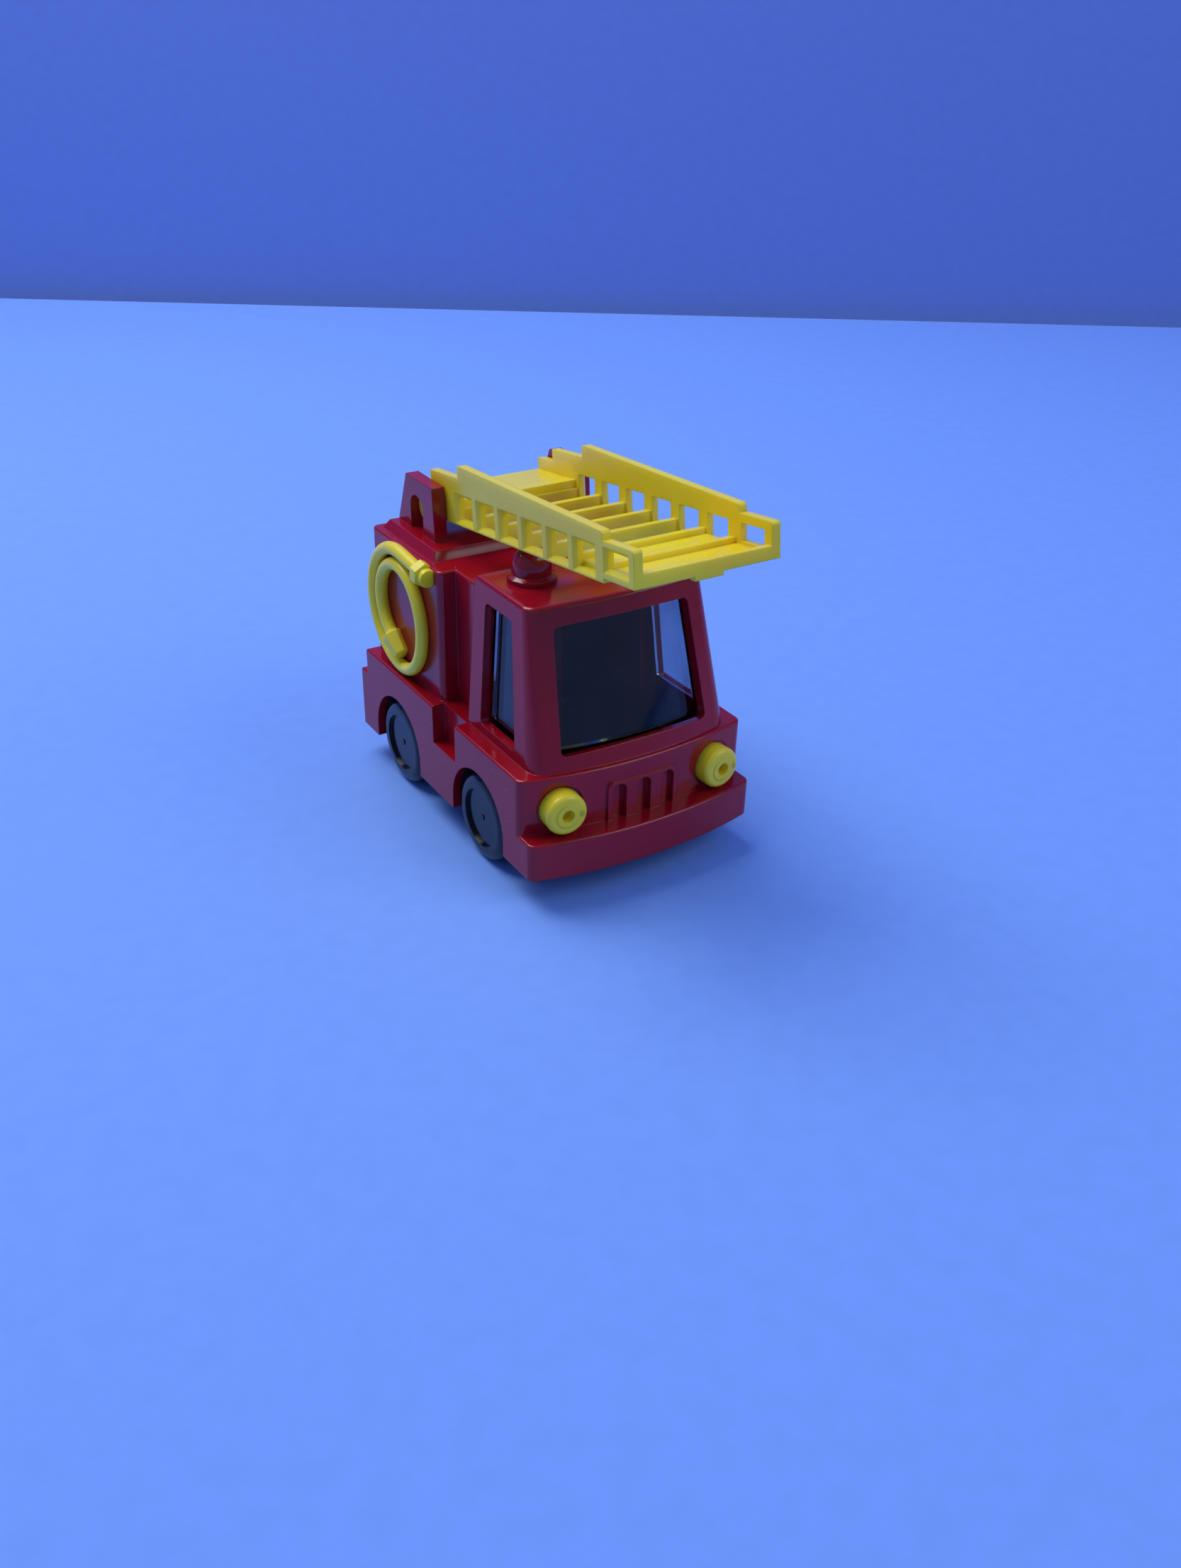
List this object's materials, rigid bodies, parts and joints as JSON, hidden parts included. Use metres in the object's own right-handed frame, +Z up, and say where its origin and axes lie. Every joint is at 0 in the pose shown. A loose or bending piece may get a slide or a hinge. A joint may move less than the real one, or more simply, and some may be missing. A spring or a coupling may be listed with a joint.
{
  "type": "toy fire engine",
  "caption": "Small moulded toy fire engine with a bow-fronted cab, a lifting ladder on pivot ears, moulded hose coils, free-turning wheels and a geared flywheel drive.",
  "frame": {"origin": "on the ground, at the middle of the whole outline seen from above", "axes": "-Y is the engine's front, +X its left side, +Z up"},
  "size_m": [0.041, 0.0705, 0.0591],
  "materials": {
    "red_shell": "high gloss",
    "yellow_plastic": "satin gloss, slightly translucent",
    "black_plastic": "gloss",
    "dark_red_plastic": "high gloss",
    "smoked_glazing": "smoked, clear",
    "chassis_black": "satin",
    "steel": "drawn",
    "white_gear": "satin"
  },
  "bodies": {
    "engine": {"body_shell": "red_shell", "cab_glazing": "smoked_glazing", "beacon_left": "dark_red_plastic", "beacon_right": "dark_red_plastic", "headlamp_left": "yellow_plastic", "headlamp_right": "yellow_plastic", "hose_coil_left": "yellow_plastic", "hose_coil_right": "yellow_plastic", "chassis_plate": "chassis_black", "chassis_screws": "steel", "motor_case_left": "chassis_black", "motor_case_right": "chassis_black", "idler_pin": "steel"},
    "ladder": {"ladder": "yellow_plastic"},
    "front_wheelset": {"front_axle": "steel", "front_left_wheel": "black_plastic", "front_right_wheel": "black_plastic"},
    "rear_wheelset": {"rear_axle": "steel", "rear_left_wheel": "black_plastic", "rear_right_wheel": "black_plastic", "axle_gear": "white_gear"},
    "idler": {"idler_gear": "white_gear"},
    "flywheel": {"flywheel": "steel", "flywheel_shaft": "steel"}
  },
  "joints": [
    {"name": "ladder_raise", "type": "hinge", "parent": "engine", "child": "ladder", "pos_m": [0, 0.02261, 0.0472], "axis": [-1, 0, 0], "range_deg": [0, 60]},
    {"name": "front_axle_spin", "type": "hinge", "parent": "engine", "child": "front_wheelset", "pos_m": [0, -0.00679, 0.00733], "axis": [1, 0, 0], "continuous": true},
    {"name": "rear_axle_spin", "type": "hinge", "parent": "engine", "child": "rear_wheelset", "pos_m": [0, 0.02131, 0.00733], "axis": [1, 0, 0], "continuous": true},
    {"name": "idler_spin", "type": "hinge", "parent": "engine", "child": "idler", "pos_m": [0, 0.02131, 0.01333], "axis": [1, 0, 0], "continuous": true},
    {"name": "flywheel_spin", "type": "hinge", "parent": "engine", "child": "flywheel", "pos_m": [0, 0.02131, 0.01933], "axis": [1, 0, 0], "continuous": true}
  ],
  "couplings": [
    {"joint": "idler_spin", "follows": "rear_axle_spin", "ratio": -2},
    {"joint": "flywheel_spin", "follows": "rear_axle_spin", "ratio": 4}
  ]
}
